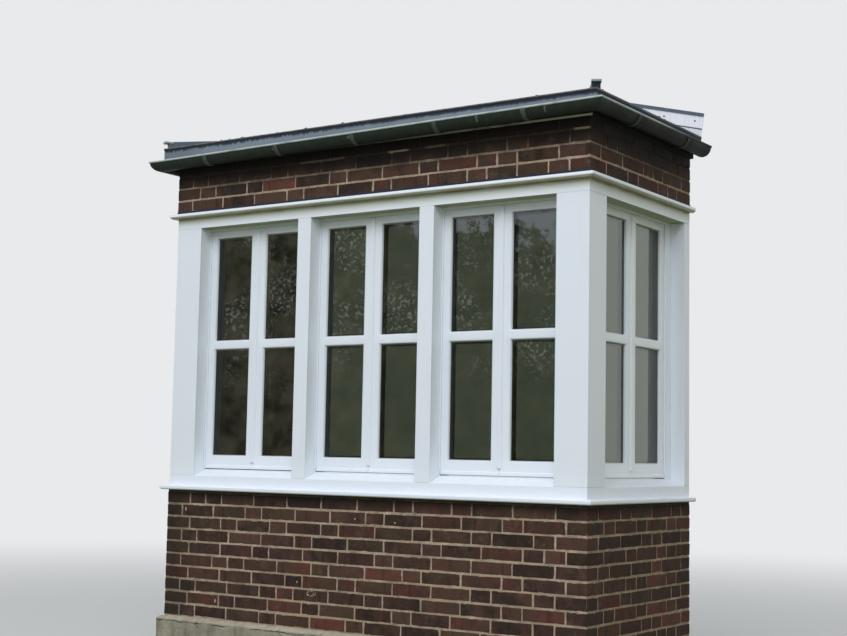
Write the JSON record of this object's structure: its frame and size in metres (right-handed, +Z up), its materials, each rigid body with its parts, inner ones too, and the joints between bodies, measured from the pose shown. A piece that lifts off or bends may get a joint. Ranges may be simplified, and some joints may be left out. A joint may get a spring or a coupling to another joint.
{
  "type": "bay window",
  "caption": "Rectangular ground-floor bay window: brick walls on a concrete plinth, white timber casements on three sides, hipped zinc roof with a gutter, open to the room at the back",
  "frame": {"origin": "centre of the bounding box at ground level", "axes": "+Z up from the ground, -Y out of the building through the front windows, +X along the front to the right as seen from outside"},
  "size_m": [3.26, 1.43, 3.712],
  "materials": {
    "concrete": "weathered grey-beige concrete, rough",
    "brick": "dark brown-red clinker bricks with buff mortar joints",
    "floor": "trowelled concrete",
    "plaster": "matt painted plaster",
    "painted_timber": "white gloss paint, slightly weathered",
    "glass": "double glazing, slightly green",
    "dark_timber": "dark stained board with a lighter lower edge",
    "roof_timber": "rough sawn softwood",
    "zinc": "weathered zinc sheet",
    "bright_zinc": "new bright zinc sheet",
    "dark_zinc": "dark weathered zinc"
  },
  "bodies": {
    "root": {"apron_front": "brick", "apron_left": "brick", "apron_right": "brick", "band_front": "brick", "band_left": "brick", "band_right": "brick", "cap_moulding": "painted_timber", "ceiling": "plaster", "corner_post_left": "painted_timber", "corner_post_right": "painted_timber", "eaves_strip": "zinc", "flashing_cap": "dark_zinc", "floor_slab": "floor", "frame_side_left": "painted_timber", "frame_side_right": "painted_timber", "frame_window_1": "painted_timber", "frame_window_2": "painted_timber", "frame_window_3": "painted_timber", "frieze_board": "dark_timber", "glass_front": "glass", "glass_left": "glass", "glass_right": "glass", "gutter_front": "dark_zinc", "gutter_left": "dark_zinc", "gutter_right": "dark_zinc", "gutter_straps": "dark_zinc", "head_front": "painted_timber", "head_left": "painted_timber", "head_right": "painted_timber", "hip_battens": "zinc", "leaves_side_left": "painted_timber", "leaves_side_right": "painted_timber", "leaves_window_1": "painted_timber", "leaves_window_2": "painted_timber", "leaves_window_3": "painted_timber", "mullions": "painted_timber", "plinth_front": "concrete", "plinth_left": "concrete", "plinth_right": "concrete", "rafters": "roof_timber", "roof_deck": "roof_timber", "roof_sheet": "zinc", "room_board": "painted_timber", "room_plaster": "plaster", "sill_front": "painted_timber", "sill_left": "painted_timber", "sill_right": "painted_timber", "wall_bearer": "roof_timber", "wall_flashing": "bright_zinc", "wall_post_left": "painted_timber", "wall_post_right": "painted_timber"}
  },
  "joints": []
}
